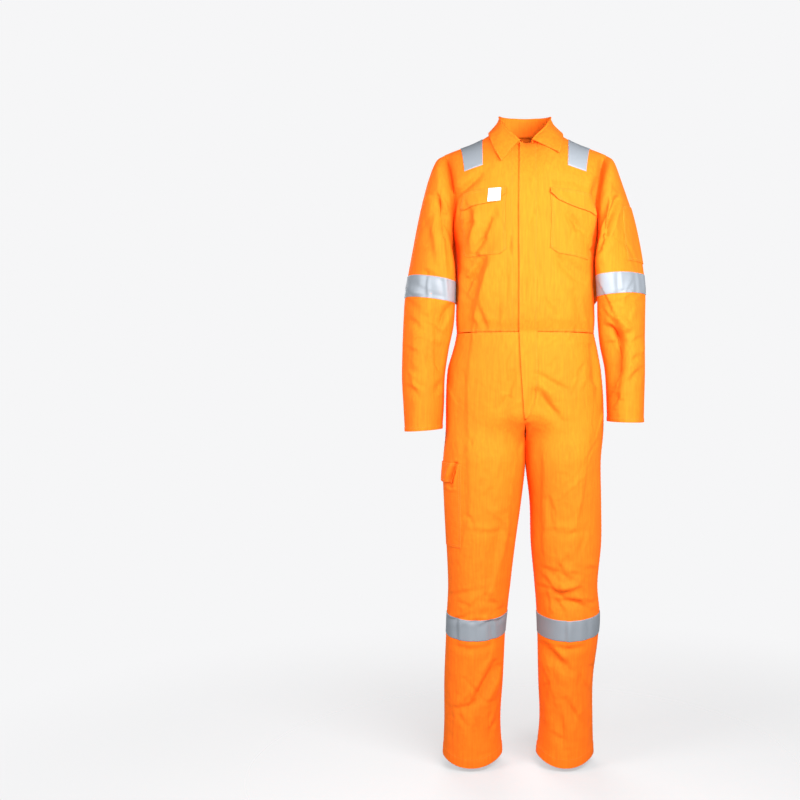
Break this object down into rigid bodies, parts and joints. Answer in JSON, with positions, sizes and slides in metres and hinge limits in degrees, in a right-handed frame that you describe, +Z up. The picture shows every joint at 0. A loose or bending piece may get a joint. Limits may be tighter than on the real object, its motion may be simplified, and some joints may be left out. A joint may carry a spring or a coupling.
{
  "type": "boiler suit",
  "caption": "Long-sleeved one-piece work suit of cotton twill with a zip front under a placket, turned-down collar, flap pockets and reflective tape, in worn shape.",
  "frame": {"origin": "Middle of the neck on the line of the shoulders, where the wearer's shoulders hold the suit up", "axes": "+Z up, front of the garment faces -Y, +X towards the wearer's left"},
  "size_m": [0.5888, 0.264, 1.5445],
  "materials": {
    "cotton_twill": "matt orange cotton twill",
    "reflective_tape": "silver-grey glass-bead reflective tape, slightly glossy",
    "woven_patch": "plain white woven patch",
    "zip_tape": "woven zip tape"
  },
  "bodies": {
    "root": {"front_right": "cotton_twill", "front_left": "cotton_twill", "back": "cotton_twill", "sleeve_right": "cotton_twill", "sleeve_left": "cotton_twill", "trouser_front_right": "cotton_twill", "trouser_front_left": "cotton_twill", "trouser_back_right": "cotton_twill", "trouser_back_left": "cotton_twill", "collar_stand": "cotton_twill", "collar_leaf": "cotton_twill", "placket": "cotton_twill", "chest_pocket_right": "cotton_twill", "chest_pocket_left": "cotton_twill", "chest_flap_right": "cotton_twill", "chest_flap_left": "cotton_twill", "thigh_pocket": "cotton_twill", "thigh_flap": "cotton_twill", "sleeve_pocket": "cotton_twill", "shoulder_tape_right": "reflective_tape", "shoulder_tape_left": "reflective_tape", "sleeve_tape_right": "reflective_tape", "sleeve_tape_left": "reflective_tape", "leg_tape_right": "reflective_tape", "leg_tape_left": "reflective_tape", "chest_patch": "woven_patch", "zip": "zip_tape"}
  },
  "joints": []
}
